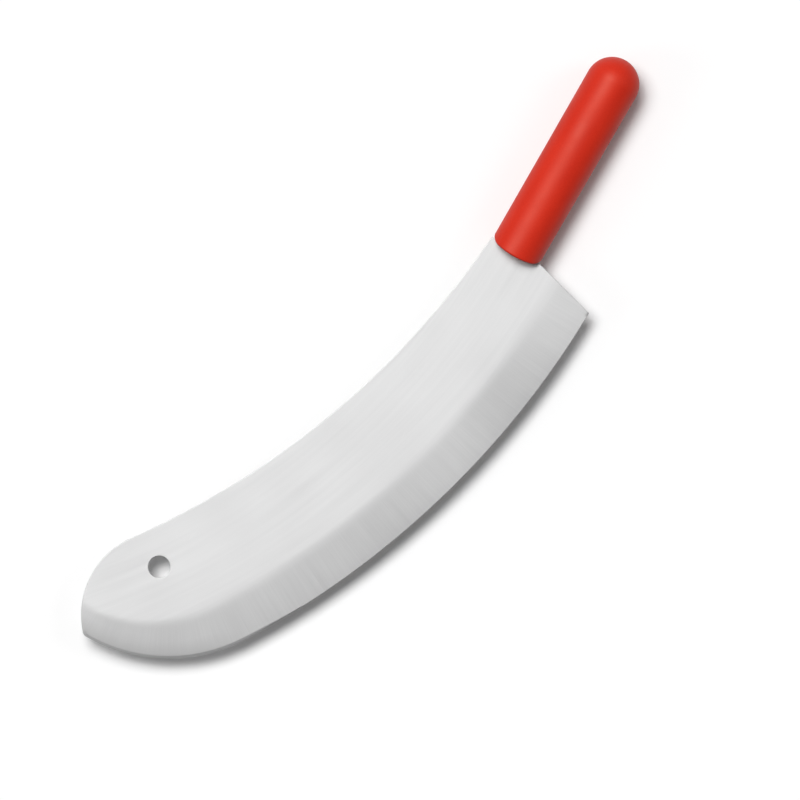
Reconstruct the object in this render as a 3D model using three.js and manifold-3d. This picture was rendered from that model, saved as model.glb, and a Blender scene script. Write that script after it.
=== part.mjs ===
// One-handed mezzaluna: a crescent chopping blade with a round moulded handle in line with it.
// Millimetres. The pieces are shaped with the handle's axis on X and the grip's blade end at X = 0:
// +X runs to the blade's tip, +Y to its cutting edge, and the blade's middle plane is Z = 0.
import * as THREE from 'three';
import { mergeVertices } from 'three/addons/utils/BufferGeometryUtils.js';
import Module from 'manifold-3d';

const wasm = await Module();
wasm.setup();

const degrees = THREE.MathUtils.degToRad;

// Grip: the red outer moulding, a round bar with a domed butt and a crowned front
const GRIP_LENGTH = 133;
const GRIP_DIAMETER = 32;
const GRIP_TAPER = 0.6;
const GRIP_CROWN_RADIUS = 46;
const GRIP_CORNER_RADIUS = 7;
const GRIP_WALL = 5;

// Core: the first moulding, which holds the tang inside the grip
const CORE_FRONT_WALL = 10;
const CORE_RIB_HEIGHT = 2;
const CORE_RIB_WIDTH = 4;
const CORE_RIB_COUNT = 6;

// Blade outline: a spine arc, a nose arc, a rounded tip, a belly arc, an edge arc and a straight heel
const BLADE_THICKNESS = 2.5;
const BLADE_REACH = 319.2;
const SPINE_RADIUS = 495;
const SPINE_LEAN = degrees(4);
const SPINE_LEDGE = 0.8;
const NOSE_RADIUS = 50;
const NOSE_SETBACK = 34.5;
const TIP_RADIUS = 4;
const BELLY_RADIUS = 97;
const EDGE_RADIUS = 523;
const EDGE_LEAN = degrees(1.1);
const HEEL_DEPTH = 55.5;
const HEEL_RAKE = degrees(15);
const SHOULDER_SEAT = 4;

// Hang hole, just behind the nose
const HANG_HOLE_DIAMETER = 13;
const HANG_HOLE_INSET = 22.4;
const HANG_HOLE_SETBACK = 7.4;

// Ground bevel, alike on both faces: round the belly it narrows and its upper line turns crisp
const BEVEL_WIDTH = 25;
const BEVEL_BLEND = 7;
const TIP_BEVEL_WIDTH = 16;
const TIP_BEVEL_BLEND = 2.5;
const HONED_WIDTH = 1.3;
const HONED_THICKNESS = 0.8;
const EDGE_THICKNESS = 0.2;

// Tang: the blade's own tongue in the handle, with holes that the core keys through
const TANG_WIDTH = 16;
const TANG_END_WALL = 29;
const KEY_HOLE_DIAMETER = 8;
const KEY_HOLE_COUNT = 3;
const KEY_HOLE_MARGIN = 14;

// Gap between a moulding and what it is moulded round
const CLEARANCE = 0.3;

// Facets: how far a chord may cut inside its arc, steps in the bevel's blend, sides of the round mouldings
const SAG = 0.03;
const BLEND_STEPS = 3;
const GRIP_SIDES = 48;
const CORE_SIDES = 20;

const STEEL = new THREE.MeshStandardMaterial({ color: 0xdcdcdc, roughness: 0.35, metalness: 1 });
const RED_PLASTIC = new THREE.MeshStandardMaterial({ color: 0xd23228, roughness: 0.45, metalness: 0 });
const NATURAL_PLASTIC = new THREE.MeshStandardMaterial({ color: 0xe6e2d8, roughness: 0.5, metalness: 0 });

// Solids

function solid(geometry) {
  const bare = geometry.clone();
  bare.deleteAttribute('normal');
  bare.deleteAttribute('uv');
  const merged = mergeVertices(bare);
  const corners = merged.index.array;
  const triangles = [];
  for (let i = 0; i < corners.length; i += 3) {
    const [a, b, c] = corners.slice(i, i + 3);
    if (a !== b && b !== c && c !== a) {
      triangles.push(a, b, c);
    }
  }
  const vertProperties = new Float32Array(merged.attributes.position.array);
  const triVerts = new Uint32Array(triangles);
  return new wasm.Manifold(new wasm.Mesh({ numProp: 3, vertProperties, triVerts }));
}

function namedMesh(name, body, material) {
  const { vertProperties, triVerts } = body.getMesh();
  const geometry = new THREE.BufferGeometry();
  geometry.setAttribute('position', new THREE.BufferAttribute(vertProperties, 3));
  geometry.setIndex(new THREE.BufferAttribute(triVerts, 1));
  geometry.computeVertexNormals();
  const mesh = new THREE.Mesh(geometry, material);
  mesh.name = name;
  return mesh;
}

// An outline as a plate, half its thickness on each side of Z = 0
function plate(outline, holes, thickness) {
  const shape = new THREE.Shape(outline);
  shape.holes = holes.map((hole) => new THREE.Path(hole));
  const geometry = new THREE.ExtrudeGeometry(shape, { depth: thickness, bevelEnabled: false });
  return solid(geometry.translate(0, 0, -thickness / 2));
}

// A profile of (place along X, radius) points, from low X to high X, turned about the X axis
function turned(profile, sides) {
  const points = profile.map(({ x, y }) => new THREE.Vector2(y, x));
  const geometry = new THREE.LatheGeometry(points, sides);
  return solid(geometry.rotateZ(-Math.PI / 2));
}

// A body through a row of sections with equally many points. All of a section can be seen from
// its last point.
function lofted(sections) {
  const count = sections[0].length;
  const end = (sections.length - 1) * count;
  const triangles = [];
  for (let a = 0; a < end; a += 1) {
    const b = (a + 1) % count === 0 ? a + 1 - count : a + 1;
    triangles.push(a, a + count, b, b, a + count, b + count);
  }
  for (let a = 0; a + 2 < count; a += 1) {
    triangles.push(count - 1, a, a + 1);
    triangles.push(end + count - 1, end + a + 1, end + a);
  }
  const positions = sections.flat().flatMap((point) => point.toArray());
  const geometry = new THREE.BufferGeometry();
  geometry.setAttribute('position', new THREE.Float32BufferAttribute(positions, 3));
  geometry.setIndex(triangles);
  return solid(geometry);
}

// Arcs

function onCircle(centre, radius, bearing) {
  return new THREE.Vector2(centre.x + radius * Math.cos(bearing), centre.y + radius * Math.sin(bearing));
}

function bearingOf(point, centre) {
  return Math.atan2(point.y - centre.y, point.x - centre.x);
}

function arcBearings(radius, from, to) {
  const step = 2 * Math.acos(1 - SAG / radius);
  const count = Math.max(1, Math.ceil(Math.abs(to - from) / step));
  return Array.from({ length: count + 1 }, (_, i) => from + ((to - from) * i) / count);
}

function arc(centre, radius, from, to) {
  return arcBearings(radius, from, to).map((bearing) => onCircle(centre, radius, bearing));
}

function circle(centre, diameter) {
  return arc(centre, diameter / 2, 0, 2 * Math.PI).slice(1);
}

// The point on a circle's +Y half at a given X
function onUpperHalf(centre, radius, x) {
  return new THREE.Vector2(x, centre.y + Math.sqrt(radius ** 2 - (x - centre.x) ** 2));
}

// Where two circles cross, the crossing nearer to the tip
function foremostCrossing(centreA, radiusA, centreB, radiusB) {
  const apart = centreA.distanceTo(centreB);
  const along = (radiusA ** 2 - radiusB ** 2 + apart ** 2) / (2 * apart);
  const bearing = bearingOf(centreB, centreA);
  const turn = Math.acos(along / radiusA);
  const left = onCircle(centreA, radiusA, bearing + turn);
  const right = onCircle(centreA, radiusA, bearing - turn);
  return left.x > right.x ? left : right;
}

// Centres of the blade's arcs. The nose touches the spine's circle from outside, the belly touches
// the edge's circle from inside, and the tip touches both nose and belly from inside.

const gripFrontRadius = (GRIP_DIAMETER - GRIP_TAPER) / 2;
const heelReach = (HEEL_DEPTH - gripFrontRadius) * Math.tan(HEEL_RAKE) - SHOULDER_SEAT;
const heelCorner = new THREE.Vector2(heelReach, HEEL_DEPTH);
const spineStart = new THREE.Vector2(-SHOULDER_SEAT, -gripFrontRadius - SPINE_LEDGE);

const spineCentre = onCircle(spineStart, SPINE_RADIUS, -Math.PI / 2 - SPINE_LEAN);
const edgeCentre = onCircle(heelCorner, EDGE_RADIUS, -Math.PI / 2 - EDGE_LEAN);
const noseCentre = onUpperHalf(spineCentre, SPINE_RADIUS + NOSE_RADIUS, BLADE_REACH - NOSE_SETBACK);
const bellyCentre = onUpperHalf(edgeCentre, EDGE_RADIUS - BELLY_RADIUS, BLADE_REACH - BELLY_RADIUS);
const tipCentre = foremostCrossing(
  noseCentre,
  NOSE_RADIUS - TIP_RADIUS,
  bellyCentre,
  BELLY_RADIUS - TIP_RADIUS,
);

const spineEnd = bearingOf(noseCentre, spineCentre);
const noseEnd = bearingOf(tipCentre, noseCentre);
const bellyStart = bearingOf(tipCentre, bellyCentre);
const edgeStart = bearingOf(bellyCentre, edgeCentre);
const edgeEnd = bearingOf(heelCorner, edgeCentre);

// Blade

// The tang and the inner ends of the shoulders beside it, all grown by a gap. On the edge's side
// the heel's line runs straight in to the tang, and on the spine's side the shoulder is square.
function tangOutline(gap) {
  const side = TANG_WIDTH / 2 + gap;
  const endCentre = new THREE.Vector2(TANG_END_WALL - GRIP_LENGTH + TANG_WIDTH / 2, 0);
  return [
    new THREE.Vector2(heelLineAt(side, gap), side),
    ...arc(endCentre, side, Math.PI / 2, 1.5 * Math.PI),
    new THREE.Vector2(-SHOULDER_SEAT - gap, -side),
  ];
}

// X of the heel's straight line at a height Y, set back by a gap
function heelLineAt(y, gap) {
  return heelReach - (HEEL_DEPTH - y) * Math.tan(HEEL_RAKE) - gap / Math.cos(HEEL_RAKE);
}

function keyHoles(diameter) {
  const first = TANG_END_WALL - GRIP_LENGTH + KEY_HOLE_MARGIN;
  const last = -CORE_FRONT_WALL - KEY_HOLE_MARGIN;
  const pitch = (last - first) / (KEY_HOLE_COUNT - 1);
  const holes = [];
  for (let i = 0; i < KEY_HOLE_COUNT; i += 1) {
    holes.push(circle(new THREE.Vector2(first + i * pitch, 0), diameter));
  }
  return holes;
}

function bladeBlank() {
  const outline = [
    ...tangOutline(0),
    ...arc(spineCentre, SPINE_RADIUS, Math.PI / 2 - SPINE_LEAN, spineEnd),
    ...arc(noseCentre, NOSE_RADIUS, spineEnd - Math.PI, noseEnd).slice(1),
    ...arc(tipCentre, TIP_RADIUS, noseEnd, bellyStart).slice(1),
    ...arc(bellyCentre, BELLY_RADIUS, bellyStart, edgeStart).slice(1),
    ...arc(edgeCentre, EDGE_RADIUS, edgeStart, edgeEnd).slice(1),
  ];
  const holeBearing = spineEnd + HANG_HOLE_SETBACK / SPINE_RADIUS;
  const hangHole = onCircle(spineCentre, SPINE_RADIUS + HANG_HOLE_INSET, holeBearing);
  const holes = [circle(hangHole, HANG_HOLE_DIAMETER), ...keyHoles(KEY_HOLE_DIAMETER)];
  return plate(outline, holes, BLADE_THICKNESS);
}

// What is ground off one face, as (distance inside the edge, height) points: the honed edge, the bevel,
// and a blend where the bevel runs out into the flat cheek
function grindSection(width, blend) {
  const cheek = BLADE_THICKNESS / 2;
  const honed = HONED_THICKNESS / 2;
  const slope = (cheek - honed) / (width - HONED_WIDTH);
  const runOut = width + blend / 2;
  const section = [
    new THREE.Vector2(-HONED_WIDTH, EDGE_THICKNESS - honed),
    new THREE.Vector2(HONED_WIDTH, honed),
  ];
  for (let i = BLEND_STEPS; i > 0; i -= 1) {
    const toGo = (blend * i) / BLEND_STEPS;
    section.push(new THREE.Vector2(runOut - toGo, cheek - (slope * toGo ** 2) / (2 * blend)));
  }
  const lift = (slope * blend) / (2 * BLEND_STEPS ** 2);
  section.push(new THREE.Vector2(runOut, cheek + lift));
  section.push(new THREE.Vector2(runOut, BLADE_THICKNESS));
  section.push(new THREE.Vector2(-HONED_WIDTH, BLADE_THICKNESS));
  return section;
}

// The sections stand square to the edge, from a little behind the heel to a little past the nose
function grindOff(face) {
  const heelOverrun = (BEVEL_WIDTH + BEVEL_BLEND) * Math.tan(HEEL_RAKE + EDGE_LEAN);
  const innerRadius = BELLY_RADIUS - TIP_BEVEL_WIDTH - TIP_BEVEL_BLEND;
  const pastNose = foremostCrossing(bellyCentre, innerRadius, noseCentre, NOSE_RADIUS);
  const sections = [];
  const addSection = (centre, radius, bearing, narrowing) => {
    const width = THREE.MathUtils.lerp(BEVEL_WIDTH, TIP_BEVEL_WIDTH, narrowing);
    const blend = THREE.MathUtils.lerp(BEVEL_BLEND, TIP_BEVEL_BLEND, narrowing);
    sections.push(grindSection(width, blend).map((point) => {
      const { x, y } = onCircle(centre, radius - point.x, bearing);
      return new THREE.Vector3(x, y, face * point.y);
    }));
  };
  for (const bearing of arcBearings(EDGE_RADIUS, edgeEnd + heelOverrun / EDGE_RADIUS, edgeStart)) {
    addSection(edgeCentre, EDGE_RADIUS, bearing, 0);
  }
  for (const bearing of arcBearings(BELLY_RADIUS, edgeStart, bearingOf(pastNose, bellyCentre)).slice(1)) {
    const narrowing = Math.min(1, (edgeStart - bearing) / (edgeStart - bellyStart));
    addSection(bellyCentre, BELLY_RADIUS, bearing, narrowing);
  }
  return lofted(face > 0 ? sections : sections.reverse());
}

function blade() {
  return bladeBlank().subtract(grindOff(1)).subtract(grindOff(-1));
}

// Handle

// Room for the blade's root: the tang, its shoulders, and everything in front of them across the grip
function rootPocket() {
  const aside = GRIP_DIAMETER;
  const outline = [
    ...tangOutline(CLEARANCE),
    new THREE.Vector2(-SHOULDER_SEAT - CLEARANCE, -aside),
    new THREE.Vector2(aside, -aside),
    new THREE.Vector2(aside, aside),
    new THREE.Vector2(heelLineAt(aside, CLEARANCE), aside),
  ];
  return plate(outline, keyHoles(KEY_HOLE_DIAMETER - 2 * CLEARANCE), BLADE_THICKNESS + 2 * CLEARANCE);
}

// The core's round body with its ribs, grown by a gap
function coreBar(gap) {
  const radius = GRIP_DIAMETER / 2 - GRIP_WALL + gap;
  const domeCentre = new THREE.Vector2(GRIP_DIAMETER / 2 - GRIP_LENGTH, 0);
  const front = -CORE_FRONT_WALL;
  const pitch = (front - domeCentre.x) / CORE_RIB_COUNT;
  const halfRib = CORE_RIB_WIDTH / 2 + gap;
  const profile = arc(domeCentre, radius, Math.PI, Math.PI / 2);
  for (let i = 0; i < CORE_RIB_COUNT; i += 1) {
    const rib = domeCentre.x + (i + 0.5) * pitch;
    profile.push(new THREE.Vector2(rib - halfRib, radius));
    profile.push(new THREE.Vector2(rib - halfRib, radius + CORE_RIB_HEIGHT));
    profile.push(new THREE.Vector2(rib + halfRib, radius + CORE_RIB_HEIGHT));
    profile.push(new THREE.Vector2(rib + halfRib, radius));
  }
  profile.push(new THREE.Vector2(front + gap, radius));
  profile.push(new THREE.Vector2(front + gap, 0));
  return turned(profile, CORE_SIDES);
}

// The grip as seen from above: its front is crowned, with a rounded corner at each side
function gripPlan() {
  const aside = GRIP_DIAMETER;
  const crownCentre = new THREE.Vector2(-GRIP_CROWN_RADIUS, 0);
  const cornerReach = GRIP_CROWN_RADIUS - GRIP_CORNER_RADIUS;
  const rim = Math.asin((GRIP_DIAMETER / 2 - GRIP_CORNER_RADIUS) / cornerReach);
  const spineCorner = onCircle(crownCentre, cornerReach, -rim);
  const edgeCorner = onCircle(crownCentre, cornerReach, rim);
  return [
    new THREE.Vector2(-2 * GRIP_LENGTH, -aside),
    new THREE.Vector2(spineCorner.x, -aside),
    ...arc(spineCorner, GRIP_CORNER_RADIUS, -Math.PI / 2, -rim),
    ...arc(crownCentre, GRIP_CROWN_RADIUS, -rim, rim).slice(1),
    ...arc(edgeCorner, GRIP_CORNER_RADIUS, rim, Math.PI / 2).slice(1),
    new THREE.Vector2(edgeCorner.x, aside),
    new THREE.Vector2(-2 * GRIP_LENGTH, aside),
  ];
}

// The round bar, cut square to the blade's faces along the front of that plan
function gripBar() {
  const buttRadius = GRIP_DIAMETER / 2;
  const buttCentre = new THREE.Vector2(buttRadius - GRIP_LENGTH, 0);
  const bar = turned([
    ...arc(buttCentre, buttRadius, Math.PI, Math.PI / 2),
    new THREE.Vector2(0, gripFrontRadius),
    new THREE.Vector2(GRIP_CORNER_RADIUS, gripFrontRadius),
    new THREE.Vector2(GRIP_CORNER_RADIUS, 0),
  ], GRIP_SIDES);
  return bar.intersect(plate(gripPlan(), [], 2 * GRIP_DIAMETER));
}

function handleCore() {
  return coreBar(0).subtract(rootPocket());
}

function handleGrip() {
  return gripBar().subtract(coreBar(CLEARANCE)).subtract(rootPocket());
}

// Knife: lying flat, with the middle of its underside at the origin

const knife = new THREE.Group();
knife.add(namedMesh('blade', blade(), STEEL));
knife.add(namedMesh('handle_core', handleCore(), NATURAL_PLASTIC));
knife.add(namedMesh('handle_grip', handleGrip(), RED_PLASTIC));

const extent = new THREE.Box3().setFromObject(knife);
const middle = extent.getCenter(new THREE.Vector3());
knife.position.set(-middle.x, -middle.y, -extent.min.z);

export default knife;
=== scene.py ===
import math

import bpy
import numpy as np
from mathutils import Matrix, Vector
from mathutils.geometry import delaunay_2d_cdt


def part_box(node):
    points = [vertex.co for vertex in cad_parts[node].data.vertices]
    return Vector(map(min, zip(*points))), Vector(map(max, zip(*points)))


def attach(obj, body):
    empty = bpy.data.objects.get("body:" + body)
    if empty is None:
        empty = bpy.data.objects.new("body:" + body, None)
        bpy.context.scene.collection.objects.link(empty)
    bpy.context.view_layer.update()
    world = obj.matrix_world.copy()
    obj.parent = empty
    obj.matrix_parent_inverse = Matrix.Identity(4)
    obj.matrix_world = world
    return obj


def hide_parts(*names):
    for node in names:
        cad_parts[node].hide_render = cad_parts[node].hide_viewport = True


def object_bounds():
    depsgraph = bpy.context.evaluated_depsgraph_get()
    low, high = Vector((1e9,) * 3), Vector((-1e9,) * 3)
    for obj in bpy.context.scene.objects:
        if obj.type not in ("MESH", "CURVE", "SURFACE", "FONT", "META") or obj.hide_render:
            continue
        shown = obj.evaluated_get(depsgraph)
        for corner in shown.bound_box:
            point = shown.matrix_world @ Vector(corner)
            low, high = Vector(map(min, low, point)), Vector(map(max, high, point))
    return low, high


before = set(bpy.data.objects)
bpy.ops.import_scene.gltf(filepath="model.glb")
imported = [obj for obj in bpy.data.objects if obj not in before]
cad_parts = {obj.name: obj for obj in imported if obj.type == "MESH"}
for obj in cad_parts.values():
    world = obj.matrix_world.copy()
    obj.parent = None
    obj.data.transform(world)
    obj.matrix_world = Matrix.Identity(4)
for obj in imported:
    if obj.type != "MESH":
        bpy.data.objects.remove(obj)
cad_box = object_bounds()

# Blade: one sheet of stainless steel, cut to a crescent together with its tang and its hang hole.
# Both faces are ground to a wide bevel along the convex edge and honed at the edge itself, and the
# cheeks are left satin. The handle is moulded round the tang.

BLADE_THICKNESS = 0.0025
BLADE_REACH = 0.3192
SPINE_RADIUS = 0.495
SPINE_LEAN = math.radians(4)
SPINE_LEDGE = 0.0008
NOSE_RADIUS = 0.050
NOSE_SETBACK = 0.0345
TIP_RADIUS = 0.004
BELLY_RADIUS = 0.097
EDGE_RADIUS = 0.523
EDGE_LEAN = math.radians(1.1)
HEEL_DEPTH = 0.0555
HEEL_RAKE = math.radians(15)
SHOULDER_SEAT = 0.004
GRIP_LENGTH = 0.133
GRIP_FRONT_RADIUS = 0.0157

HANG_HOLE_DIAMETER = 0.013
HANG_HOLE_INSET = 0.0224
HANG_HOLE_SETBACK = 0.0074
TANG_WIDTH = 0.016
TANG_END = 0.029 - GRIP_LENGTH
KEY_HOLE_DIAMETER = 0.008
KEY_HOLE_PLACES = (-0.090, -0.057, -0.024)
RIM_RADIUS = 0.0002

BEVEL_WIDTH = 0.025
BEVEL_BLEND = 0.0075
BEVEL_CROWN = 0.2
TIP_BEVEL_WIDTH = 0.0155
TIP_BEVEL_BLEND = 0.004
TIP_NARROWING = 1.3
HONED_WIDTH = 0.0003
BELLY_HONED_WIDTH = 0.0015
HONED_WIDENING = 0.040
HONED_THICKNESS = 0.0008
EDGE_THICKNESS = 0.0002
# Painted shade on the bevel near the belly's edge: how far in it reaches, and how fast it grows round the
# belly.
BELLY_SHADE_WIDTH = 0.009
BELLY_SHADE_GROWTH = 4

# The blade is drawn flat from the point where the handle's axis meets the end of the grip:
# x runs to the tip, y to the edge.
blade_low, blade_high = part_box("blade")
blade_root = Vector((
    blade_high.x - BLADE_REACH,
    blade_high.y - HEEL_DEPTH,
    (blade_low.z + blade_high.z) / 2,
))


def on_circle(centre, radius, bearing):
    return np.array((centre[0] + radius * math.cos(bearing), centre[1] + radius * math.sin(bearing)))


def bearing_of(point, centre):
    return math.atan2(point[1] - centre[1], point[0] - centre[0])


def on_upper_half(centre, radius, x):
    return np.array((x, centre[1] + math.sqrt(radius ** 2 - (x - centre[0]) ** 2)))


def foremost_crossing(centre, radius, other_centre, other_radius):
    """Where two circles cross, the crossing nearer to the tip."""
    apart = math.dist(centre, other_centre)
    along = (radius ** 2 - other_radius ** 2 + apart ** 2) / (2 * apart)
    bearing = bearing_of(other_centre, centre)
    turn = math.acos(along / radius)
    return max(
        on_circle(centre, radius, bearing + turn),
        on_circle(centre, radius, bearing - turn),
        key=lambda point: point[0],
    )


heel_reach = (HEEL_DEPTH - GRIP_FRONT_RADIUS) * math.tan(HEEL_RAKE) - SHOULDER_SEAT
heel_corner = np.array((heel_reach, HEEL_DEPTH))
spine_start = np.array((-SHOULDER_SEAT, -GRIP_FRONT_RADIUS - SPINE_LEDGE))
spine_centre = on_circle(spine_start, SPINE_RADIUS, -math.pi / 2 - SPINE_LEAN)
edge_centre = on_circle(heel_corner, EDGE_RADIUS, -math.pi / 2 - EDGE_LEAN)
nose_centre = on_upper_half(spine_centre, SPINE_RADIUS + NOSE_RADIUS, BLADE_REACH - NOSE_SETBACK)
belly_centre = on_upper_half(edge_centre, EDGE_RADIUS - BELLY_RADIUS, BLADE_REACH - BELLY_RADIUS)
tip_centre = foremost_crossing(
    nose_centre, NOSE_RADIUS - TIP_RADIUS, belly_centre, BELLY_RADIUS - TIP_RADIUS
)
spine_end = bearing_of(nose_centre, spine_centre)
nose_end = bearing_of(tip_centre, nose_centre)
belly_start = bearing_of(tip_centre, belly_centre)
edge_start = bearing_of(belly_centre, edge_centre)
edge_end = bearing_of(heel_corner, edge_centre)
hang_hole_centre = on_circle(
    spine_centre, SPINE_RADIUS + HANG_HOLE_INSET, spine_end + HANG_HOLE_SETBACK / SPINE_RADIUS
)


def arc(centre, radius, start, end, step):
    """Points on a circle from one bearing to another, about a step apart."""
    count = max(1, round(abs(end - start) * radius / step))
    return [on_circle(centre, radius, bearing) for bearing in np.linspace(start, end, count + 1)]


def straight(start, end, step):
    """Points on a straight cut, about a step apart."""
    count = max(1, round(math.dist(start, end) / step))
    return list(np.linspace(start, end, count + 1))


def heel_line_at(y, gap):
    """How far along the heel's straight cut is at a height, set back by a gap."""
    return heel_reach - (HEEL_DEPTH - y) * math.tan(HEEL_RAKE) - gap / math.cos(HEEL_RAKE)


def tang_cut(gap, step):
    """The cut round the tang from the heel to the spine's shoulder, grown by a gap."""
    side = TANG_WIDTH / 2 + gap
    end_centre = (TANG_END + TANG_WIDTH / 2, 0)
    heel_side = (heel_line_at(side, gap), side)
    spine_side = (-SHOULDER_SEAT - gap, -side)
    return [
        *straight(heel_side, (end_centre[0], side), step)[:-1],
        *arc(end_centre, side, math.pi / 2, 1.5 * math.pi, step / 2)[:-1],
        *straight((end_centre[0], -side), spine_side, step),
    ]


def hole_cut(centre, diameter, step):
    """A hole's cut, run the other way round from the outline so that the steel is on its left too."""
    return np.array(arc(centre, diameter / 2, 2 * math.pi, 0, step)[:-1])


# How far apart the points on each cut are.
TANG_STEP = 0.004
SPINE_STEP = 0.002
NOSE_STEP = 0.001
TIP_STEP = 0.0003
BELLY_STEP = 0.0012
EDGE_STEP = 0.0015
HEEL_STEP = 0.0006
HANG_HOLE_STEP = 0.0006
KEY_HOLE_STEP = 0.0012

heel_foot = (heel_line_at(TANG_WIDTH / 2, 0), TANG_WIDTH / 2)
outline = np.array([
    *tang_cut(0, TANG_STEP)[:-1],
    *straight((-SHOULDER_SEAT, -TANG_WIDTH / 2), spine_start, SPINE_STEP)[:-1],
    *arc(spine_centre, SPINE_RADIUS, math.pi / 2 - SPINE_LEAN, spine_end, SPINE_STEP)[:-1],
    *arc(nose_centre, NOSE_RADIUS, spine_end - math.pi, nose_end, NOSE_STEP)[:-1],
    *arc(tip_centre, TIP_RADIUS, nose_end, belly_start, TIP_STEP)[:-1],
    *arc(belly_centre, BELLY_RADIUS, belly_start, edge_start, BELLY_STEP)[:-1],
    *arc(edge_centre, EDGE_RADIUS, edge_start, edge_end, EDGE_STEP)[:-1],
    *straight(heel_corner, heel_foot, HEEL_STEP)[:-1],
])
cuts = [outline, hole_cut(hang_hole_centre, HANG_HOLE_DIAMETER, HANG_HOLE_STEP)]
cuts += [hole_cut((place, 0), KEY_HOLE_DIAMETER, KEY_HOLE_STEP) for place in KEY_HOLE_PLACES]


def place_on_edge(points):
    """How far each point is from the heel along the edge, inside the edge, and round the belly."""
    from_edge = points - edge_centre
    from_belly = points - belly_centre
    bearing = np.arctan2(from_edge[:, 1], from_edge[:, 0])
    belly_bearing = np.arctan2(from_belly[:, 1], from_belly[:, 0])
    on_belly = bearing < edge_start
    round_belly = np.clip((edge_start - belly_bearing) / (edge_start - belly_start), 0, 1)
    along = np.where(
        on_belly,
        (edge_end - edge_start) * EDGE_RADIUS + (edge_start - belly_bearing) * BELLY_RADIUS,
        (edge_end - bearing) * EDGE_RADIUS,
    )
    inside = np.where(
        on_belly,
        BELLY_RADIUS - np.hypot(*from_belly.T),
        EDGE_RADIUS - np.hypot(*from_edge.T),
    )
    return along, np.maximum(inside, 0), np.where(on_belly, round_belly, 0)


def grind_sizes(along, round_belly):
    """The honed line's width, which grows towards the belly, and the bevel's width and blend, which get
    smaller round the belly."""
    to_belly = (edge_end - edge_start) * EDGE_RADIUS - along
    widening = np.clip(1 - to_belly / HONED_WIDENING, 0, 1)
    narrowing = round_belly ** TIP_NARROWING
    honed_width = HONED_WIDTH + widening * (BELLY_HONED_WIDTH - HONED_WIDTH)
    width = BEVEL_WIDTH + narrowing * (TIP_BEVEL_WIDTH - BEVEL_WIDTH)
    blend = BEVEL_BLEND + narrowing * (TIP_BEVEL_BLEND - BEVEL_BLEND)
    return honed_width, width, blend


def bevel_run(inside, width, blend):
    """How far out over the bevel each point is, with a smooth start where the bevel blends in."""
    onto_bevel = np.maximum(width + blend / 2 - inside, 0)
    return np.where(onto_bevel < blend, onto_bevel ** 2 / (2 * blend), onto_bevel - blend / 2)


def ground_height(points):
    """Half the steel's thickness at each point, after grinding and honing."""
    along, inside, round_belly = place_on_edge(points)
    honed_width, width, blend = grind_sizes(along, round_belly)
    cheek, honed, edge = BLADE_THICKNESS / 2, HONED_THICKNESS / 2, EDGE_THICKNESS / 2
    slope = (cheek - honed) / (width - honed_width)
    run = bevel_run(inside, width, blend)
    bevel = cheek - slope * run
    bevel += BEVEL_CROWN * slope * (inside - honed_width) * (run / (width - honed_width)) ** 2
    return np.where(inside < honed_width, edge + (honed - edge) * inside / honed_width, bevel)


def way_into_steel(cut):
    """For each point of a cut, the step that moves both of its sides one metre into the steel."""
    onward = np.roll(cut, -1, axis=0) - cut
    onward /= np.linalg.norm(onward, axis=1)[:, None]
    left = np.column_stack((-onward[:, 1], onward[:, 0]))
    left_before = np.roll(left, 1, axis=0)
    return (left + left_before) / (1 + (left * left_before).sum(1))[:, None]


# Every cut has rounded rims, which take no more than a share of the steel's half thickness.
RIM_TURNS = np.radians((90, 60, 30, 0))
RIM_SHARE = 0.8
inner_cuts = []
rim_rings = []
for cut in cuts:
    into = way_into_steel(cut)
    radius = np.minimum(RIM_RADIUS, RIM_SHARE * ground_height(cut))[:, None]
    top = ground_height(cut + into * radius)[:, None]
    rings = []
    for turn in RIM_TURNS:
        flat = cut + into * radius * (1 - math.cos(turn))
        rings.append(np.hstack((flat, top - radius * (1 - math.sin(turn)))))
    inner_cuts.append(rings[0][:, :2])
    rim_rings.append(rings)


def room_in_steel(points, edges_from, edges_to):
    """How far each point is from the cuts, and below 0 outside the steel."""
    along = edges_to - edges_from
    away = points[:, None] - edges_from
    share = np.clip((away * along).sum(2) / (along ** 2).sum(1), 0, 1)
    distance = np.linalg.norm(away - share[..., None] * along, axis=2).min(1)
    height = points[:, None, 1]
    passes = (edges_from[:, 1] > height) != (edges_to[:, 1] > height)
    rise = np.where(along[:, 1] == 0, 1, along[:, 1])
    crossing = edges_from[:, 0] + along[:, 0] * (height - edges_from[:, 1]) / rise
    odd = (passes & (crossing > points[:, None, 0])).sum(1) % 2 == 1
    return np.where(odd, distance, -distance)


# Rows of points that follow the edge: its honed line, the bevel, the bevel's blend and the cheek.
# A row is (share of the bevel, share of the blend, steps into the cheek, stations between points).
STATION_STEP = 0.0015
CHEEK_STEP = 0.006
HEEL_OVERRUN = 0.024
NOSE_OVERRUN = math.radians(16)
BEVEL_SHARES = (0.1, 0.25, 0.5, 0.75)
BLEND_SHARES = (0, 0.25, 0.5, 0.75, 1)
CHEEK_ROWS = 10
CUT_ROOM = 0.45
HONED_CUT_ROOM = 0.3
edge_bearings = np.arange(edge_start, edge_end + HEEL_OVERRUN / EDGE_RADIUS, STATION_STEP / EDGE_RADIUS)
belly_bearings = np.arange(-NOSE_OVERRUN, edge_start, STATION_STEP / BELLY_RADIUS)
stations = [(belly_centre, BELLY_RADIUS, bearing) for bearing in belly_bearings]
stations += [(edge_centre, EDGE_RADIUS, bearing) for bearing in edge_bearings]
rows = [(0, 0, 0, 1)]
rows += [(share, 0, 0, 2) for share in BEVEL_SHARES]
rows += [(1, share, 0, 2) for share in BLEND_SHARES]
rows += [(1, 1, step, 4) for step in range(1, CHEEK_ROWS + 1)]

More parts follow.
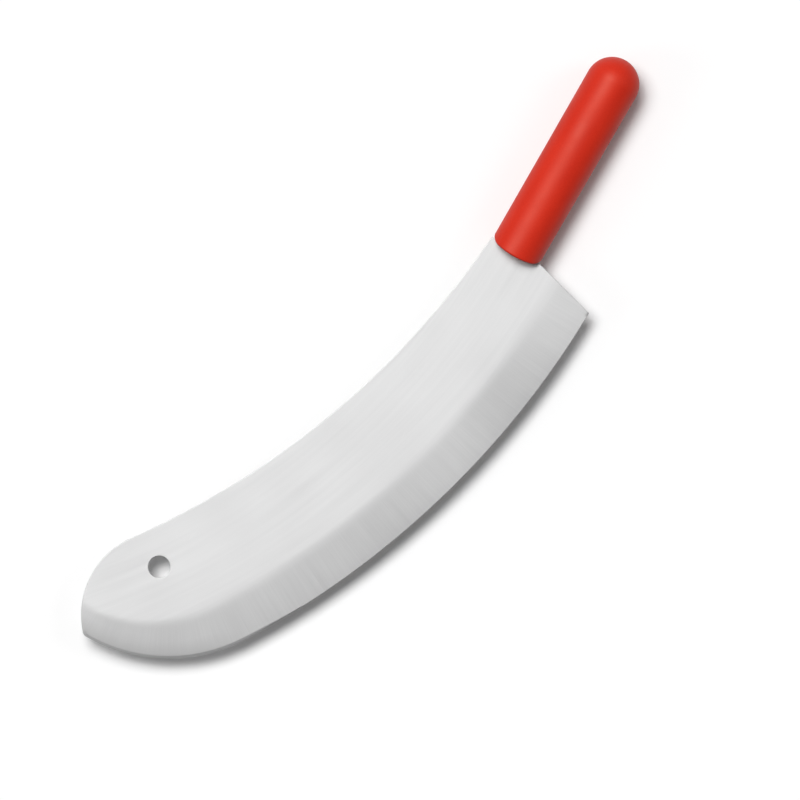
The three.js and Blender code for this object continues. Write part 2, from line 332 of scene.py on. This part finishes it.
cut_starts = np.concatenate(inner_cuts)
cut_ends = np.concatenate([np.roll(cut, -1, axis=0) for cut in inner_cuts])
flat_points = [tuple(point) for point in cut_starts]
flat_edges = []
for cut in inner_cuts:
    first = len(flat_edges)
    flat_edges += [(first + i, first + (i + 1) % len(cut)) for i in range(len(cut))]
honed_edges = []
for bevel_share, blend_share, cheek_steps, apart in rows:
    row = []
    for centre, radius, bearing in stations[::apart]:
        along, _, round_belly = place_on_edge(on_circle(centre, radius, bearing)[None])
        honed_width, width, blend = (float(size[0]) for size in grind_sizes(along, round_belly))
        inside = honed_width + bevel_share * (width - blend / 2 - honed_width)
        inside += blend_share * blend + cheek_steps * CHEEK_STEP
        row.append(on_circle(centre, radius - inside, bearing))
    room = CUT_ROOM * apart * STATION_STEP if apart > 1 else HONED_CUT_ROOM * HONED_WIDTH
    kept = room_in_steel(np.array(row), cut_starts, cut_ends) > room
    for i in np.flatnonzero(kept):
        if apart == 1 and i > 0 and kept[i - 1]:
            honed_edges.append((len(flat_points) - 1, len(flat_points)))
        flat_points.append(tuple(row[i]))

# The points are joined up inside the cuts. A triangle that has all its corners on one hole's cut fills
# that hole, so it is left out.
ONLY_INSIDE = 1
SAME_POINT = 1e-9
flat_vectors = [Vector(point) for point in flat_points]
joined_edges = flat_edges + honed_edges
found = delaunay_2d_cdt(flat_vectors, joined_edges, [], ONLY_INSIDE, SAME_POINT)
_, _, found_faces, found_points, _, _ = found
hole_of = np.zeros(len(flat_points), int)
first = 0
for number, cut in enumerate(inner_cuts):
    hole_of[first:first + len(cut)] = number
    first += len(cut)
flat_faces = []
for corners in found_faces:
    face = [found_points[corner][0] for corner in corners]
    in_hole = {hole_of[corner] for corner in face}
    if len(in_hole) > 1 or in_hole == {0}:
        flat_faces.append(face)

flat_array = np.array(flat_points)
flat_height = ground_height(flat_array)
count = len(flat_points)
vertices = np.concatenate((
    np.column_stack((flat_array, flat_height)),
    np.column_stack((flat_array, -flat_height)),
))
faces = [tuple(face) for face in flat_faces]
faces += [tuple(count + corner for corner in reversed(face)) for face in flat_faces]
first = 0
for rings in rim_rings:
    size = len(rings[0])
    upper = [first + np.arange(size)]
    lower = [count + first + np.arange(size)]
    for ring in rings[1:]:
        upper.append(len(vertices) + np.arange(size))
        lower.append(len(vertices) + size + np.arange(size))
        vertices = np.concatenate((vertices, ring, ring * (1, 1, -1)))
    down = upper + lower[::-1]
    for above, below in zip(down, down[1:]):
        for i in range(size):
            j = (i + 1) % size
            faces.append((above[i], below[i], below[j], above[j]))
    first += size

blade_mesh = bpy.data.meshes.new("ground_blade")
blade_mesh.from_pydata([tuple(Vector(v) + blade_root) for v in vertices], [], faces)
blade_mesh.shade_smooth()
crisp = {tuple(sorted(edge)) for edge in joined_edges}
crisp |= {(a + count, b + count) for a, b in crisp}
for edge in blade_mesh.edges:
    edge.use_edge_sharp = tuple(sorted(edge.vertices)) in crisp

# The finish follows the edge: (along it, out over the bevel, share of the bevel), the brushing's sweep, how
# near the honed edge, and where the bevel near the belly's edge gets painted shade.
along, inside, round_belly = place_on_edge(vertices[:, :2])
honed_width, width, blend = grind_sizes(along, round_belly)
bevel_share = np.clip((width + blend / 2 - inside) / blend, 0, 1)
grind = blade_mesh.attributes.new("grind", "FLOAT_VECTOR", "POINT")
grind_place = np.column_stack((along, bevel_run(inside, width, blend), bevel_share))
grind.data.foreach_set("vector", grind_place.astype(np.float32).ravel())
brushing = blade_mesh.attributes.new("brushing", "FLOAT_VECTOR", "POINT")
from_edge = vertices[:, :2] - edge_centre
sweep = np.arctan2(from_edge[:, 1], from_edge[:, 0]) * EDGE_RADIUS
brushing_place = np.column_stack((sweep, np.hypot(*from_edge.T), vertices[:, 2]))
brushing.data.foreach_set("vector", brushing_place.astype(np.float32).ravel())
honing = blade_mesh.attributes.new("honing", "FLOAT", "POINT")
honing.data.foreach_set("value", np.clip(1 - inside / honed_width, 0, 1).astype(np.float32))
# Painted shade: the bevel near the belly's edge gets a darker steel colour, strongest at the honed line.
painted_belly_shade = blade_mesh.attributes.new("painted_belly_shade", "FLOAT", "POINT")
painted_belly_shade_share = np.clip(1 - (inside - honed_width) / BELLY_SHADE_WIDTH, 0, 1)
painted_belly_shade_share *= np.minimum(BELLY_SHADE_GROWTH * round_belly, 1)
painted_belly_shade_share *= np.clip(inside / honed_width, 0, 1)
painted_belly_shade.data.foreach_set("value", painted_belly_shade_share.astype(np.float32))

blade = bpy.data.objects.new("ground_blade", blade_mesh)
bpy.context.scene.collection.objects.link(blade)
blade.modifiers.new("flat_cheeks", "WEIGHTED_NORMAL").keep_sharp = True


def add_node(tree, kind, inputs, **settings):
    """A shader node with its settings, and its inputs set to values or linked to sockets."""
    node = tree.nodes.new(kind)
    for name, setting in settings.items():
        setattr(node, name, setting)
    for name, value in inputs.items():
        if isinstance(value, bpy.types.NodeSocket):
            tree.links.new(value, node.inputs[name])
        else:
            node.inputs[name].default_value = value
    return node


def calculate(tree, operation, first, second):
    return add_node(tree, "ShaderNodeMath", {0: first, 1: second}, operation=operation).outputs[0]


def stretch(tree, place, scales):
    return add_node(tree, "ShaderNodeVectorMath", {0: place, 1: scales}, operation="MULTIPLY").outputs[0]


def noise(tree, place, scale, detail):
    settings = {"Vector": place, "Scale": scale, "Detail": detail}
    return add_node(tree, "ShaderNodeTexNoise", settings).outputs["Fac"]


def ramp(tree, value, low, high, to_low, to_high):
    """A value run from one range into another, and held at the ends."""
    return add_node(tree, "ShaderNodeMapRange", {
        "Value": value, "From Min": low, "From Max": high, "To Min": to_low, "To Max": to_high,
    }).outputs["Result"]


def blend_colours(tree, share, first, second):
    """A mix of two colours; a colour is a socket or (red, green, blue, 1)."""
    return add_node(tree, "ShaderNodeMix", {0: share, 6: first, 7: second}, data_type="RGBA").outputs[2]


def raised(tree, height):
    """A normal from a height in metres."""
    bump = add_node(tree, "ShaderNodeBump", {"Height": height, "Strength": 1, "Distance": 1})
    return bump.outputs["Normal"]


# Marks of use, shared by the steel and the grip: soft smudges, and a few short hairline scratches that run
# two ways. A way is (turn, length by width), and a range is where a noise starts and ends to show.
NOISE_RANGE = (0.3, 0.7)
SMUDGE_RANGE = (0.35, 0.65)
SCRATCH_RANGE = (0.72, 0.78)
SCRATCH_WAYS = ((0.35, 40), (-0.9, 55))

handling_marks = bpy.data.node_groups.new("handling_marks", "ShaderNodeTree")
for name, kind in (("Place", "Vector"), ("Smudge Scale", "Float"), ("Scratch Scale", "Float")):
    handling_marks.interface.new_socket(name, in_out="INPUT", socket_type="NodeSocket" + kind)
for name in ("Smudge", "Scratch"):
    handling_marks.interface.new_socket(name, in_out="OUTPUT", socket_type="NodeSocketFloat")
given = handling_marks.nodes.new("NodeGroupInput").outputs
smudge = noise(handling_marks, given["Place"], given["Smudge Scale"], 3)
scratches = []
for turn, spread in SCRATCH_WAYS:
    turning = {"Vector": given["Place"], "Angle": turn}
    turned = add_node(handling_marks, "ShaderNodeVectorRotate", turning, rotation_type="Z_AXIS")
    drawn_out = stretch(handling_marks, turned.outputs[0], (1, spread, 1))
    hairs = noise(handling_marks, drawn_out, given["Scratch Scale"], 1)
    scratches.append(ramp(handling_marks, hairs, *SCRATCH_RANGE, 0, 1))
add_node(handling_marks, "NodeGroupOutput", {
    "Smudge": ramp(handling_marks, smudge, *SMUDGE_RANGE, 0, 1),
    "Scratch": calculate(handling_marks, "MAXIMUM", *scratches),
})

# Satin lines run along the cheeks, grinding lines run square to the edge across the bevel, and the
# bevel's tilt wanders a little, as a hand on the wheel leaves it. Painted shade darkens the belly near its
# edge.
STEEL_PALE = (0.610, 0.610, 0.610, 1)
STEEL_DARK = (0.578, 0.578, 0.580, 1)
STEEL_PAINTED_SHADE = (0.505, 0.505, 0.505, 1)
STEEL_ROUGHNESS = 0.344
LINE_ROUGHNESS = 0.012
STEEL_SMUDGE_ROUGHNESS = 0.006
BEVEL_ROUGHNESS = 0.02
HONED_ROUGHNESS = 0.09
HONED_RANGE = (0.02, 0.06)
STEEL_SMUDGE_SCALE = 22
STEEL_SCRATCH_SCALE = 45
STEEL_SCRATCH_SHADE = 0.25
SATIN_LINES = (9, 420, 0)
SATIN_LINE_SHARE = 0.6
SATIN_HAIRS = (30, 2600, 0)
SATIN_HAIR_SHARE = 0.4
WHEEL_LINES = (1300, 26, 0)
ROCKING_TILT = 0.010
ROCKING_START = 0.012
ROCKING_PITCH = 0.124
ROCKING_FADE = 0.130
HAND_WANDER = (14, 0, 0)
WANDER_TILT = 0.004
LINE_DEPTH = 1.2e-7

satin_steel = bpy.data.materials.new("satin_steel")
satin_steel.use_nodes = True
tree = satin_steel.node_tree
steel = tree.nodes["Principled BSDF"]
on_grind = add_node(tree, "ShaderNodeAttribute", {}, attribute_name="grind").outputs["Vector"]
on_brushing = add_node(tree, "ShaderNodeAttribute", {}, attribute_name="brushing").outputs["Vector"]
on_honing = add_node(tree, "ShaderNodeAttribute", {}, attribute_name="honing").outputs["Fac"]
on_painted_belly_shade = add_node(tree, "ShaderNodeAttribute", {}, attribute_name="painted_belly_shade").outputs["Fac"]
along_edge, over_bevel, on_bevel = add_node(tree, "ShaderNodeSeparateXYZ", {0: on_grind}).outputs
satin_lines = noise(tree, stretch(tree, on_brushing, SATIN_LINES), 1, 2)
satin_hairs = noise(tree, stretch(tree, on_brushing, SATIN_HAIRS), 1, 2)
satin = calculate(
    tree, "ADD",
    calculate(tree, "MULTIPLY", satin_lines, SATIN_LINE_SHARE),
    calculate(tree, "MULTIPLY", satin_hairs, SATIN_HAIR_SHARE),
)
wheel = noise(tree, stretch(tree, on_grind, WHEEL_LINES), 1, 3)
lines = add_node(tree, "ShaderNodeMix", {0: on_bevel, 2: satin, 3: wheel}).outputs[0]
marks = add_node(tree, "ShaderNodeGroup", {}, node_tree=handling_marks)
tree.links.new(on_brushing, marks.inputs["Place"])
marks.inputs["Smudge Scale"].default_value = STEEL_SMUDGE_SCALE
marks.inputs["Scratch Scale"].default_value = STEEL_SCRATCH_SCALE
scratch_shade = calculate(tree, "MULTIPLY", marks.outputs["Scratch"], STEEL_SCRATCH_SHADE)
shade = calculate(tree, "ADD", lines, scratch_shade)
bright = blend_colours(tree, ramp(tree, shade, *NOISE_RANGE, 0, 1), STEEL_DARK, STEEL_PALE)
# Painted shade: the base colour turns darker on the belly's bevel near its edge.
tree.links.new(blend_colours(tree, on_painted_belly_shade, bright, STEEL_PAINTED_SHADE), steel.inputs["Base Color"])
honed_band = ramp(tree, on_honing, *HONED_RANGE, 0, 1)
line_change = ramp(tree, lines, *NOISE_RANGE, -LINE_ROUGHNESS, LINE_ROUGHNESS)
smudge_range = (-STEEL_SMUDGE_ROUGHNESS, STEEL_SMUDGE_ROUGHNESS)
smudge_change = ramp(tree, marks.outputs["Smudge"], 0, 1, *smudge_range)
roughness = calculate(tree, "ADD", line_change, STEEL_ROUGHNESS)
roughness = calculate(tree, "ADD", roughness, smudge_change)
roughness = calculate(tree, "ADD", roughness, calculate(tree, "MULTIPLY", on_bevel, BEVEL_ROUGHNESS))
roughness = calculate(tree, "ADD", roughness, calculate(tree, "MULTIPLY", honed_band, HONED_ROUGHNESS))
tree.links.new(roughness, steel.inputs["Roughness"])
wandering = noise(tree, stretch(tree, on_grind, HAND_WANDER), 1, 1)
wander = ramp(tree, wandering, 0, 1, -WANDER_TILT, WANDER_TILT)
from_start = calculate(tree, "SUBTRACT", along_edge, ROCKING_START)
rocked = calculate(tree, "MULTIPLY", from_start, 2 * math.pi / ROCKING_PITCH)
fade = calculate(tree, "POWER", math.exp(-1 / ROCKING_FADE), along_edge)
rocking = calculate(tree, "MULTIPLY", calculate(tree, "COSINE", rocked, 0), fade)
tilt = calculate(tree, "ADD", wander, calculate(tree, "MULTIPLY", rocking, ROCKING_TILT))
height = calculate(tree, "MULTIPLY", tilt, over_bevel)
height = calculate(tree, "ADD", height, calculate(tree, "MULTIPLY", lines, LINE_DEPTH))
tree.links.new(raised(tree, height), steel.inputs["Normal"])
steel.inputs["Metallic"].default_value = 1
blade_mesh.materials.append(satin_steel)
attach(blade, "root")
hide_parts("blade")

# Core: the handle's first shot of plain natural plastic, moulded round the tang and through its key holes.
# Its ribs hold the grip, which covers it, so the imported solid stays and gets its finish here.

CORE_PALE = (0.80, 0.78, 0.72, 1)
CORE_DARK = (0.70, 0.67, 0.60, 1)
CORE_ROUGHNESS = 0.5
CORE_PEBBLE_ROUGHNESS = 0.05
CORE_PEBBLE_SCALE = 1500
CORE_FLOW_SCALE = 120
CORE_PEBBLE_DEPTH = 3e-6

# The skin of a moulded piece, shared by the core and the grip: fine pebbles from the mould's blasted face,
# and the slow tint where the melt flowed.
FLOW_STRETCH = (0.35, 1, 1)

moulded_skin = bpy.data.node_groups.new("moulded_skin", "ShaderNodeTree")
for name, kind in (("Place", "Vector"), ("Pebble Scale", "Float"), ("Flow Scale", "Float")):
    moulded_skin.interface.new_socket(name, in_out="INPUT", socket_type="NodeSocket" + kind)
for name in ("Pebble", "Flow"):
    moulded_skin.interface.new_socket(name, in_out="OUTPUT", socket_type="NodeSocketFloat")
given = moulded_skin.nodes.new("NodeGroupInput").outputs
flow_place = stretch(moulded_skin, given["Place"], FLOW_STRETCH)
flow = noise(moulded_skin, flow_place, given["Flow Scale"], 2)
add_node(moulded_skin, "NodeGroupOutput", {
    "Pebble": noise(moulded_skin, given["Place"], given["Pebble Scale"], 2),
    "Flow": ramp(moulded_skin, flow, *NOISE_RANGE, 0, 1),
})

natural_plastic = bpy.data.materials.new("natural_plastic")
natural_plastic.use_nodes = True
tree = natural_plastic.node_tree
natural = tree.nodes["Principled BSDF"]
place = tree.nodes.new("ShaderNodeTexCoord").outputs["Object"]
skin = add_node(tree, "ShaderNodeGroup", {}, node_tree=moulded_skin)
tree.links.new(place, skin.inputs["Place"])
skin.inputs["Pebble Scale"].default_value = CORE_PEBBLE_SCALE
skin.inputs["Flow Scale"].default_value = CORE_FLOW_SCALE
tint = blend_colours(tree, skin.outputs["Flow"], CORE_DARK, CORE_PALE)
tree.links.new(tint, natural.inputs["Base Color"])
roughness_range = (CORE_ROUGHNESS + CORE_PEBBLE_ROUGHNESS, CORE_ROUGHNESS - CORE_PEBBLE_ROUGHNESS)
roughness = ramp(tree, skin.outputs["Pebble"], *NOISE_RANGE, *roughness_range)
tree.links.new(roughness, natural.inputs["Roughness"])
height = calculate(tree, "MULTIPLY", skin.outputs["Pebble"], CORE_PEBBLE_DEPTH)
tree.links.new(raised(tree, height), natural.inputs["Normal"])
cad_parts["handle_core"].material_slots[0].material = natural_plastic

# Grip: the red skin of the handle, a round bar with a domed butt and a crowned front, moulded in satin
# plastic over the core and round the blade's root.

GRIP_DIAMETER = 0.032
GRIP_CROWN_RADIUS = 0.046
GRIP_CORNER_RADIUS = 0.007
GRIP_RIM_RADIUS = 0.0009
GRIP_RIM_SHARES = (0.25, 0.5, 0.75, 1)
GRIP_WALL = 0.005
GRIP_COLUMNS = 128
GRIP_RINGS = 12
BUTT_STEP = 0.0008
CREASE_ANGLE = math.radians(35)
PARTING_LINE_WIDTH = 0.0005
PARTING_LINE_HEIGHT = 0.00005
PARTING_LINE_FADE = 50
CORE_FRONT_WALL = 0.010
CORE_RIB_HEIGHT = 0.002
CORE_RIB_WIDTH = 0.004
CORE_RIB_COUNT = 6
CORE_COLUMNS = 60
CORE_BUTT_STEP = 0.002
SKIN_GAP = 0.0001
GRIP_PALE = (0.67, 0.022, 0.005, 1)
GRIP_DARK = (0.57, 0.014, 0.003, 1)
GRIP_ROUGHNESS = 0.54
GRIP_GLOSS = 0.44
GRIP_GLOSS_TINT = (1.0, 0.80, 0.64, 1)
GRIP_PEBBLE_DEPTH = 6e-6
GRIP_PEBBLE_SCALE = 1100
GRIP_FLOW_SCALE = 70
GRIP_SMUDGE_SCALE = 60
GRIP_SCRATCH_SCALE = 60
PALE_SHARE = 0.2
FLOW_TINT = 0.6
PEBBLE_TINT = 0.2
GRIP_SMUDGE_ROUGHNESS = 0.03
GRIP_SCRATCH_ROUGHNESS = 0.1


def made_body(name, points, faces):
    """An object from points drawn about the handle's axis."""
    mesh = bpy.data.meshes.new(name)
    mesh.from_pydata([tuple(Vector(point) + blade_root) for point in points], [], faces)
    body = bpy.data.objects.new(name, mesh)
    bpy.context.scene.collection.objects.link(body)
    return body


def bar_of_rings(name, butt, rings):
    """A closed bar from its butt's middle and rings of points along it. Each ring starts at the edge's
    side, so that the points of the last one pair up across the front."""
    size = len(rings[0])
    points = [butt] + [point for ring in rings for point in ring]
    faces = [(0, 1 + (i + 1) % size, 1 + i) for i in range(size)]
    front = len(points) - size
    for first in range(1, front, size):
        for i in range(size):
            j = (i + 1) % size
            faces.append((first + i, first + j, first + size + j, first + size + i))
    for i in range(size // 2):
        corners = (front + i, front + i + 1, front + size - i - 1, front + (size - i) % size)
        faces.append(tuple(dict.fromkeys(corners)))
    return made_body(name, points, faces)


def ring_at(along, radius, bearings):
    return [(along, radius * math.cos(bearing), radius * math.sin(bearing)) for bearing in bearings]


grip_radius = GRIP_DIAMETER / 2
butt_centre = (grip_radius - GRIP_LENGTH, 0)
crown_centre = (-GRIP_CROWN_RADIUS, 0)
corner_reach = GRIP_CROWN_RADIUS - GRIP_CORNER_RADIUS
corner_bearing = math.asin((grip_radius - GRIP_CORNER_RADIUS) / corner_reach)
corner_centre = on_circle(crown_centre, corner_reach, corner_bearing)


def front_at(y, inset):
    """The crowned front seen from above, moved in by an inset: how far along it is at y, and which way it
    faces there."""
    crown = GRIP_CROWN_RADIUS - inset
    corner = GRIP_CORNER_RADIUS - inset
    if abs(y) <= crown * math.sin(corner_bearing):
        facing = math.asin(abs(y) / crown)
        along = crown_centre[0] + crown * math.cos(facing)
    else:
        facing = math.asin((abs(y) - corner_centre[1]) / corner)
        along = corner_centre[0] + corner * math.cos(facing)
    return along, math.copysign(facing, y)


# Each column runs from the butt to the front and over the front's rim. The mould's parting line stands a
# little proud on the two columns in the blade's plane.
half_line = PARTING_LINE_WIDTH / 2 / grip_radius
grip_bearings = [2 * math.pi * i / GRIP_COLUMNS for i in range(GRIP_COLUMNS)]
grip_bearings += [half_line, math.pi - half_line, math.pi + half_line, 2 * math.pi - half_line]
grip_bearings.sort()
rim_reach = GRIP_FRONT_RADIUS - GRIP_RIM_RADIUS
columns = []
for bearing in grip_bearings:
    line = PARTING_LINE_HEIGHT if bearing in (0, math.pi) else 0
    outward = Vector((0, math.cos(bearing), math.sin(bearing)))
    rim_start, facing = front_at(rim_reach * outward.y, GRIP_RIM_RADIUS)
    onward = Vector((math.cos(facing), math.sin(facing), 0))
    column = []
    for along, radius in arc(butt_centre, grip_radius, math.pi, math.pi / 2, BUTT_STEP)[1:-1]:
        column.append(Vector((along, 0, 0)) + outward * (radius + min(line, radius / PARTING_LINE_FADE)))
    for share in np.linspace(0, 1, GRIP_RINGS + 1):
        along = butt_centre[0] + share * (rim_start - butt_centre[0])
        radius = grip_radius + share * (GRIP_FRONT_RADIUS - grip_radius)
        column.append(Vector((along, 0, 0)) + outward * (radius + line))
    for share in GRIP_RIM_SHARES:
        rim_way = outward.slerp(onward, share)
        column.append(Vector((rim_start, 0, 0)) + outward * rim_reach + rim_way * GRIP_RIM_RADIUS)
    columns.append(column)
grip = bar_of_rings("red_grip", Vector((-GRIP_LENGTH, 0, 0)), list(zip(*columns)))

# The room inside it: the ribbed core, then the blade's root with everything in front of its shoulders.
core_radius = grip_radius - GRIP_WALL + SKIN_GAP
core_profile = arc(butt_centre, core_radius, math.pi, math.pi / 2, CORE_BUTT_STEP)
rib_pitch = (-CORE_FRONT_WALL - butt_centre[0]) / CORE_RIB_COUNT
for i in range(CORE_RIB_COUNT):
    rib = butt_centre[0] + (i + 0.5) * rib_pitch
    half_rib = CORE_RIB_WIDTH / 2 + SKIN_GAP
    for along, height in ((-half_rib, 0), (-half_rib, 1), (half_rib, 1), (half_rib, 0)):
        core_profile.append((rib + along, core_radius + height * CORE_RIB_HEIGHT))
core_profile.append((SKIN_GAP - CORE_FRONT_WALL, core_radius))
core_bearings = [2 * math.pi * i / CORE_COLUMNS for i in range(CORE_COLUMNS)]
core_room = bar_of_rings(
    "core_room",
    (butt_centre[0] - core_radius, 0, 0),
    [ring_at(along, radius, core_bearings) for along, radius in core_profile[1:]],
)

root_outline = [
    *tang_cut(SKIN_GAP, TANG_STEP),
    (-SHOULDER_SEAT - SKIN_GAP, -GRIP_DIAMETER),
    (GRIP_DIAMETER, -GRIP_DIAMETER),
    (GRIP_DIAMETER, GRIP_DIAMETER),
    (heel_line_at(GRIP_DIAMETER, SKIN_GAP), GRIP_DIAMETER),
]
half_slot = BLADE_THICKNESS / 2 + SKIN_GAP
size = len(root_outline)
root_room = made_body(
    "root_room",
    [(*point, z) for z in (-half_slot, half_slot) for point in root_outline],
    [
        tuple(range(size - 1, -1, -1)),
        tuple(range(size, 2 * size)),
        *[(i, (i + 1) % size, size + (i + 1) % size, size + i) for i in range(size)],
    ],
)
for room in (core_room, root_room):
    hollow = grip.modifiers.new(room.name, "BOOLEAN")
    hollow.operation = "DIFFERENCE"
    hollow.solver = "EXACT"
    hollow.object = room
depsgraph = bpy.context.evaluated_depsgraph_get()
hollow_mesh = bpy.data.meshes.new_from_object(grip.evaluated_get(depsgraph))
grip.modifiers.clear()
grip.data = hollow_mesh
for room in (core_room, root_room):
    bpy.data.objects.remove(room)
hollow_mesh.shade_smooth()
hollow_mesh.set_sharp_from_angle(angle=CREASE_ANGLE)
grip.modifiers.new("true_round", "WEIGHTED_NORMAL").keep_sharp = True

red_plastic = bpy.data.materials.new("red_plastic")
red_plastic.use_nodes = True
tree = red_plastic.node_tree
red = tree.nodes["Principled BSDF"]
place = tree.nodes.new("ShaderNodeTexCoord").outputs["Object"]
skin = add_node(tree, "ShaderNodeGroup", {}, node_tree=moulded_skin)
tree.links.new(place, skin.inputs["Place"])
skin.inputs["Pebble Scale"].default_value = GRIP_PEBBLE_SCALE
skin.inputs["Flow Scale"].default_value = GRIP_FLOW_SCALE
marks = add_node(tree, "ShaderNodeGroup", {}, node_tree=handling_marks)
tree.links.new(place, marks.inputs["Place"])
marks.inputs["Smudge Scale"].default_value = GRIP_SMUDGE_SCALE
marks.inputs["Scratch Scale"].default_value = GRIP_SCRATCH_SCALE
pebble_tint = ramp(tree, skin.outputs["Pebble"], *NOISE_RANGE, -PEBBLE_TINT, PEBBLE_TINT)
tint = calculate(tree, "MULTIPLY", skin.outputs["Flow"], FLOW_TINT)
tint = calculate(tree, "ADD", tint, PALE_SHARE)
tint = calculate(tree, "ADD", tint, pebble_tint)
tree.links.new(blend_colours(tree, tint, GRIP_DARK, GRIP_PALE), red.inputs["Base Color"])
smudge_range = (-GRIP_SMUDGE_ROUGHNESS, GRIP_SMUDGE_ROUGHNESS)
smudge_change = ramp(tree, marks.outputs["Smudge"], 0, 1, *smudge_range)
scratch_change = calculate(tree, "MULTIPLY", marks.outputs["Scratch"], GRIP_SCRATCH_ROUGHNESS)
roughness = calculate(tree, "ADD", smudge_change, GRIP_ROUGHNESS)
roughness = calculate(tree, "ADD", roughness, scratch_change)
tree.links.new(roughness, red.inputs["Roughness"])
height = calculate(tree, "MULTIPLY", skin.outputs["Pebble"], GRIP_PEBBLE_DEPTH)
tree.links.new(raised(tree, height), red.inputs["Normal"])
red.inputs["Specular IOR Level"].default_value = GRIP_GLOSS
red.inputs["Specular Tint"].default_value = GRIP_GLOSS_TINT
grip.data.materials.append(red_plastic)
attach(grip, "root")
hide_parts("handle_grip")

# Floor: a broad level sheet of white paper, which the round handle rests on. It looks white to the camera
# and in the steel, and throws less light back at the handle, so that little of its red falls on the paper.

FLOOR_REACH = 30
PAPER_SEEN = (0.97, 0.97, 0.97, 1)
PAPER_THROWN = (0.50, 0.50, 0.50, 1)

floor_mesh = bpy.data.meshes.new("paper_floor")
floor_mesh.from_pydata(
    [(x, y, cad_box[0].z) for x, y in ((-1, -1), (1, -1), (1, 1), (-1, 1))], [], [(0, 1, 2, 3)]
)
floor_mesh.transform(Matrix.Diagonal((FLOOR_REACH, FLOOR_REACH, 1, 1)))
white_paper = bpy.data.materials.new("white_paper")
white_paper.use_nodes = True
tree = white_paper.node_tree
paper = tree.nodes["Principled BSDF"]
ray = tree.nodes.new("ShaderNodeLightPath").outputs
seen = calculate(tree, "MAXIMUM", ray["Is Camera Ray"], ray["Is Glossy Ray"])
tree.links.new(blend_colours(tree, seen, PAPER_THROWN, PAPER_SEEN), paper.inputs["Base Color"])
paper.inputs["Roughness"].default_value = 1
paper.inputs["Specular IOR Level"].default_value = 0
floor_mesh.materials.append(white_paper)
floor = bpy.data.objects.new("paper_floor", floor_mesh)
bpy.context.scene.collection.objects.link(floor)

# Light: two round softboxes side by side over the spine, two low side panels for the steel to show, and
# an even fill from all round. A lamp is (name, bearing, angle off the zenith, width, strength).

FILL_STRENGTH = 0.16
LAMPS = (
    ("butt_softbox", math.radians(228), math.radians(25), math.radians(24), 1.55),
    ("tip_softbox", math.radians(264), math.radians(25), math.radians(24), 1.25),
    ("tip_panel", math.radians(315), math.radians(63), math.radians(24), 0.25),
    ("butt_panel", math.radians(135), math.radians(53), math.radians(24), 0.25),
)

for name, bearing, off_zenith, width, strength in LAMPS:
    aside = math.sin(off_zenith)
    way = Vector((aside * math.cos(bearing), aside * math.sin(bearing), math.cos(off_zenith)))
    lamp = bpy.data.lights.new(name, "SUN")
    lamp.energy = strength
    lamp.angle = width
    lamp_object = bpy.data.objects.new(name, lamp)
    lamp_object.location = way
    lamp_object.rotation_euler = way.to_track_quat("Z", "Y").to_euler()
    bpy.context.scene.collection.objects.link(lamp_object)

studio = bpy.data.worlds.new("studio")
studio.use_nodes = True
studio.node_tree.nodes["Background"].inputs["Color"].default_value = (1, 1, 1, 1)
studio.node_tree.nodes["Background"].inputs["Strength"].default_value = FILL_STRENGTH
bpy.context.scene.world = studio

# Camera: straight over the blade, with a lens so long that the raised blade and the handle on the floor
# keep their true sizes beside each other.

CAMERA_CENTRE = (0.0133, 0.0176)
CAMERA_TURN = math.radians(119.932)
VIEW_WIDTH = 0.4706
LENS = 500
SENSOR_WIDTH = 36

camera_data = bpy.data.cameras.new("camera")
camera_data.sensor_width = SENSOR_WIDTH
camera_data.lens = LENS
camera = bpy.data.objects.new("camera", camera_data)
camera.location = (*CAMERA_CENTRE, blade_root.z + VIEW_WIDTH * LENS / SENSOR_WIDTH)
camera.rotation_euler = (0, 0, CAMERA_TURN)
bpy.context.scene.collection.objects.link(camera)
bpy.context.scene.camera = camera
bpy.context.scene.view_settings.view_transform = "Standard"
